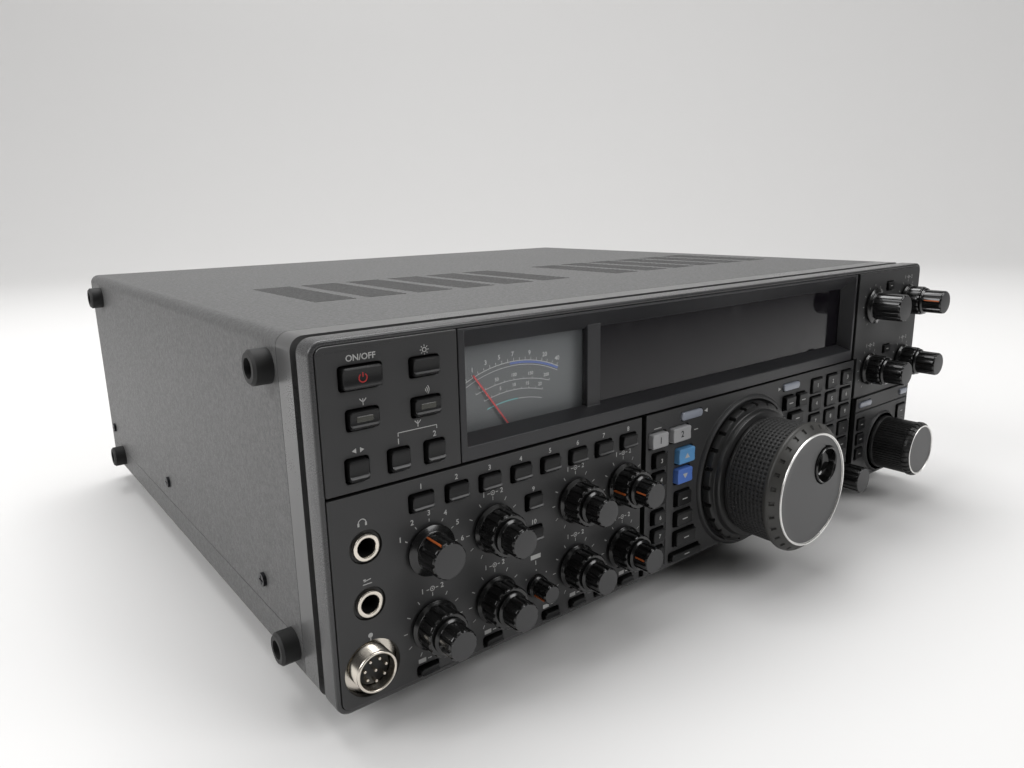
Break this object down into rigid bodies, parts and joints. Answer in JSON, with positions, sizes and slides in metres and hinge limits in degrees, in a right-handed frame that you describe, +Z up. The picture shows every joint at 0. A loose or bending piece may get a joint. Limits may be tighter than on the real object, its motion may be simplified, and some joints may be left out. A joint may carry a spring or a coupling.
{
  "type": "short-wave transceiver",
  "caption": "Desktop short-wave radio transceiver in folded steel covers, with a large tuning dial, double knobs, keys, a needle meter and a wide dark display window.",
  "frame": {"origin": "middle of the footprint, at the surface that the feet stand on", "axes": "+X to the right seen from the front, +Y to the back, +Z up"},
  "size_m": [0.4184, 0.413, 0.143],
  "materials": {
    "cover_paint": "fine textured dark grey paint",
    "casting_paint": "smooth dark grey paint",
    "bezel_plastic": "satin",
    "panel_plastic": "fine moulded grain",
    "window_smoke": "smoked, glossy",
    "window_clear": "clear, glossy",
    "meter_plate": "printed",
    "needle_red": "painted",
    "foot_rubber": "moulded",
    "screw_black": "black oxide",
    "nickel": "plated",
    "lens_white": "diffusing",
    "board_green": "solder mask",
    "control_metal": "plated",
    "sink_metal": "extruded",
    "box_steel": "zinc plated",
    "rear_paint": "satin black",
    "fan_plastic": "moulded",
    "knob_plastic": "satin black",
    "dial_plastic": "satin",
    "grip_rubber": "moulded pits",
    "cup_plastic": "polished",
    "key_plastic": "satin"
  },
  "bodies": {
    "case": {"top_cover": "cover_paint", "bottom_cover": "cover_paint", "chassis_frame": "casting_paint", "rear_panel": "rear_paint", "front_bezel": "bezel_plastic", "left_panel": "panel_plastic", "power_panel": "panel_plastic", "display_bezel": "bezel_plastic", "centre_panel": "panel_plastic", "right_panel": "panel_plastic", "display_window": "window_smoke", "meter_window": "window_clear", "meter_dial": "meter_plate", "rubber_feet": "foot_rubber", "cover_screws": "screw_black", "front_jacks": "nickel", "mic_socket": "nickel", "indicator_lenses": "lens_white", "circuit_boards": "board_green", "control_pots": "control_metal", "heat_sink": "sink_metal", "power_supply": "box_steel", "rear_sockets": "nickel", "fan_frame": "fan_plastic"},
    "main_dial": {"main_dial_knob": "dial_plastic", "main_dial_grip": "grip_rubber"},
    "finger_cup": {"finger_cup": "cup_plastic"},
    "drag_ring": {"drag_ring": "dial_plastic"},
    "sub_dial": {"sub_dial_knob": "dial_plastic"},
    "meter_selector": {"meter_selector_knob": "knob_plastic"},
    "monitor_outer": {"monitor_outer_knob": "knob_plastic"},
    "monitor_inner": {"monitor_inner_knob": "knob_plastic"},
    "speed_outer": {"speed_outer_knob": "knob_plastic"},
    "speed_inner": {"speed_inner_knob": "knob_plastic"},
    "blanker_outer": {"blanker_outer_knob": "knob_plastic"},
    "blanker_inner": {"blanker_inner_knob": "knob_plastic"},
    "mic_gain_outer": {"mic_gain_outer_knob": "knob_plastic"},
    "mic_gain_inner": {"mic_gain_inner_knob": "knob_plastic"},
    "vox_outer": {"vox_outer_knob": "knob_plastic"},
    "vox_inner": {"vox_inner_knob": "knob_plastic"},
    "main_gain_outer": {"main_gain_outer_knob": "knob_plastic"},
    "main_gain_inner": {"main_gain_inner_knob": "knob_plastic"},
    "sub_gain_outer": {"sub_gain_outer_knob": "knob_plastic"},
    "sub_gain_inner": {"sub_gain_inner_knob": "knob_plastic"},
    "width_outer": {"width_outer_knob": "knob_plastic"},
    "width_inner": {"width_inner_knob": "knob_plastic"},
    "notch_outer": {"notch_outer_knob": "knob_plastic"},
    "notch_inner": {"notch_inner_knob": "knob_plastic"},
    "clarifier_outer": {"clarifier_outer_knob": "knob_plastic"},
    "clarifier_inner": {"clarifier_inner_knob": "knob_plastic"},
    "squelch": {"squelch_knob": "knob_plastic"},
    "contour": {"contour_knob": "knob_plastic"},
    "memory": {"memory_knob": "knob_plastic"},
    "power_button": {"power_button": "key_plastic"},
    "left_keys": {"left_keys": "key_plastic"},
    "mode_keys": {"mode_keys": "key_plastic"},
    "dial_keys": {"dial_keys": "key_plastic"},
    "number_keys": {"number_keys": "key_plastic"},
    "meter_needle": {"meter_needle": "needle_red"},
    "fan_rotor": {"fan_rotor": "fan_plastic"}
  },
  "joints": [
    {"name": "main_dial_turn", "type": "hinge", "parent": "case", "child": "main_dial", "pos_m": [0.0285, -0.18775, 0.0478], "axis": [0, 1, 0], "continuous": true},
    {"name": "finger_cup_spin", "type": "hinge", "parent": "main_dial", "child": "finger_cup", "pos_m": [0.03868, -0.20375, 0.05798], "axis": [0, 1, 0], "continuous": true},
    {"name": "drag_ring_turn", "type": "hinge", "parent": "case", "child": "drag_ring", "pos_m": [0.0285, -0.17275, 0.0478], "axis": [0, 1, 0], "range_deg": [-40, 40]},
    {"name": "sub_dial_turn", "type": "hinge", "parent": "case", "child": "sub_dial", "pos_m": [0.1743, -0.17975, 0.0326], "axis": [0, 1, 0], "continuous": true},
    {"name": "meter_selector_turn", "type": "hinge", "parent": "case", "child": "meter_selector", "pos_m": [-0.1618, -0.17375, 0.0628], "axis": [0, 1, 0], "range_deg": [-60, 90]},
    {"name": "monitor_outer_turn", "type": "hinge", "parent": "case", "child": "monitor_outer", "pos_m": [-0.1334, -0.17375, 0.0628], "axis": [0, 1, 0], "range_deg": [-150, 150]},
    {"name": "monitor_inner_turn", "type": "hinge", "parent": "case", "child": "monitor_inner", "pos_m": [-0.1334, -0.18275, 0.0628], "axis": [0, 1, 0], "range_deg": [-150, 150]},
    {"name": "speed_outer_turn", "type": "hinge", "parent": "case", "child": "speed_outer", "pos_m": [-0.0908, -0.17375, 0.0628], "axis": [0, 1, 0], "range_deg": [-150, 150]},
    {"name": "speed_inner_turn", "type": "hinge", "parent": "case", "child": "speed_inner", "pos_m": [-0.0908, -0.18275, 0.0628], "axis": [0, 1, 0], "range_deg": [-150, 150]},
    {"name": "blanker_outer_turn", "type": "hinge", "parent": "case", "child": "blanker_outer", "pos_m": [-0.0624, -0.17375, 0.0628], "axis": [0, 1, 0], "range_deg": [-150, 150]},
    {"name": "blanker_inner_turn", "type": "hinge", "parent": "case", "child": "blanker_inner", "pos_m": [-0.0624, -0.18275, 0.0628], "axis": [0, 1, 0], "range_deg": [-150, 150]},
    {"name": "mic_gain_outer_turn", "type": "hinge", "parent": "case", "child": "mic_gain_outer", "pos_m": [-0.1618, -0.17375, 0.033], "axis": [0, 1, 0], "range_deg": [-150, 150]},
    {"name": "mic_gain_inner_turn", "type": "hinge", "parent": "case", "child": "mic_gain_inner", "pos_m": [-0.1618, -0.18275, 0.033], "axis": [0, 1, 0], "range_deg": [-150, 150]},
    {"name": "vox_outer_turn", "type": "hinge", "parent": "case", "child": "vox_outer", "pos_m": [-0.1334, -0.17375, 0.033], "axis": [0, 1, 0], "range_deg": [-150, 150]},
    {"name": "vox_inner_turn", "type": "hinge", "parent": "case", "child": "vox_inner", "pos_m": [-0.1334, -0.18275, 0.033], "axis": [0, 1, 0], "range_deg": [-150, 150]},
    {"name": "main_gain_outer_turn", "type": "hinge", "parent": "case", "child": "main_gain_outer", "pos_m": [-0.0908, -0.17375, 0.033], "axis": [0, 1, 0], "range_deg": [-150, 150]},
    {"name": "main_gain_inner_turn", "type": "hinge", "parent": "case", "child": "main_gain_inner", "pos_m": [-0.0908, -0.18275, 0.033], "axis": [0, 1, 0], "range_deg": [-150, 150]},
    {"name": "sub_gain_outer_turn", "type": "hinge", "parent": "case", "child": "sub_gain_outer", "pos_m": [-0.0624, -0.17375, 0.033], "axis": [0, 1, 0], "range_deg": [-150, 150]},
    {"name": "sub_gain_inner_turn", "type": "hinge", "parent": "case", "child": "sub_gain_inner", "pos_m": [-0.0624, -0.18275, 0.033], "axis": [0, 1, 0], "range_deg": [-150, 150]},
    {"name": "width_outer_turn", "type": "hinge", "parent": "case", "child": "width_outer", "pos_m": [0.1915, -0.17375, 0.1213], "axis": [0, 1, 0], "range_deg": [-150, 150]},
    {"name": "width_inner_turn", "type": "hinge", "parent": "case", "child": "width_inner", "pos_m": [0.1915, -0.18275, 0.1213], "axis": [0, 1, 0], "range_deg": [-150, 150]},
    {"name": "notch_outer_turn", "type": "hinge", "parent": "case", "child": "notch_outer", "pos_m": [0.1503, -0.17375, 0.0833], "axis": [0, 1, 0], "range_deg": [-150, 150]},
    {"name": "notch_inner_turn", "type": "hinge", "parent": "case", "child": "notch_inner", "pos_m": [0.1503, -0.18275, 0.0833], "axis": [0, 1, 0], "range_deg": [-150, 150]},
    {"name": "clarifier_outer_turn", "type": "hinge", "parent": "case", "child": "clarifier_outer", "pos_m": [0.1915, -0.17375, 0.0833], "axis": [0, 1, 0], "range_deg": [-150, 150]},
    {"name": "clarifier_inner_turn", "type": "hinge", "parent": "case", "child": "clarifier_inner", "pos_m": [0.1915, -0.18275, 0.0833], "axis": [0, 1, 0], "range_deg": [-150, 150]},
    {"name": "squelch_turn", "type": "hinge", "parent": "case", "child": "squelch", "pos_m": [-0.1125, -0.17575, 0.031], "axis": [0, 1, 0], "range_deg": [-150, 150]},
    {"name": "contour_turn", "type": "hinge", "parent": "case", "child": "contour", "pos_m": [0.1503, -0.17575, 0.1213], "axis": [0, 1, 0], "range_deg": [-150, 150]},
    {"name": "memory_turn", "type": "hinge", "parent": "case", "child": "memory", "pos_m": [0.119, -0.17575, 0.0244], "axis": [0, 1, 0], "continuous": true},
    {"name": "power_button_press", "type": "slide", "parent": "case", "child": "power_button", "axis": [0, 1, 0], "range_m": [0, 0.001], "stiffness_N_per_m": 800, "springref_m": -0.001},
    {"name": "left_keys_press", "type": "slide", "parent": "case", "child": "left_keys", "axis": [0, 1, 0], "range_m": [0, 0.001], "stiffness_N_per_m": 800, "springref_m": -0.001},
    {"name": "mode_keys_press", "type": "slide", "parent": "case", "child": "mode_keys", "axis": [0, 1, 0], "range_m": [0, 0.001], "stiffness_N_per_m": 800, "springref_m": -0.001},
    {"name": "dial_keys_press", "type": "slide", "parent": "case", "child": "dial_keys", "axis": [0, 1, 0], "range_m": [0, 0.001], "stiffness_N_per_m": 800, "springref_m": -0.001},
    {"name": "number_keys_press", "type": "slide", "parent": "case", "child": "number_keys", "axis": [0, 1, 0], "range_m": [0, 0.001], "stiffness_N_per_m": 800, "springref_m": -0.001},
    {"name": "meter_needle_swing", "type": "hinge", "parent": "case", "child": "meter_needle", "pos_m": [-0.1143, -0.15695, 0.0952], "axis": [0, 1, 0], "range_deg": [0, 74]},
    {"name": "fan_spin", "type": "hinge", "parent": "case", "child": "fan_rotor", "pos_m": [0.0035, 0.17225, 0.077], "axis": [0, 1, 0], "continuous": true}
  ]
}
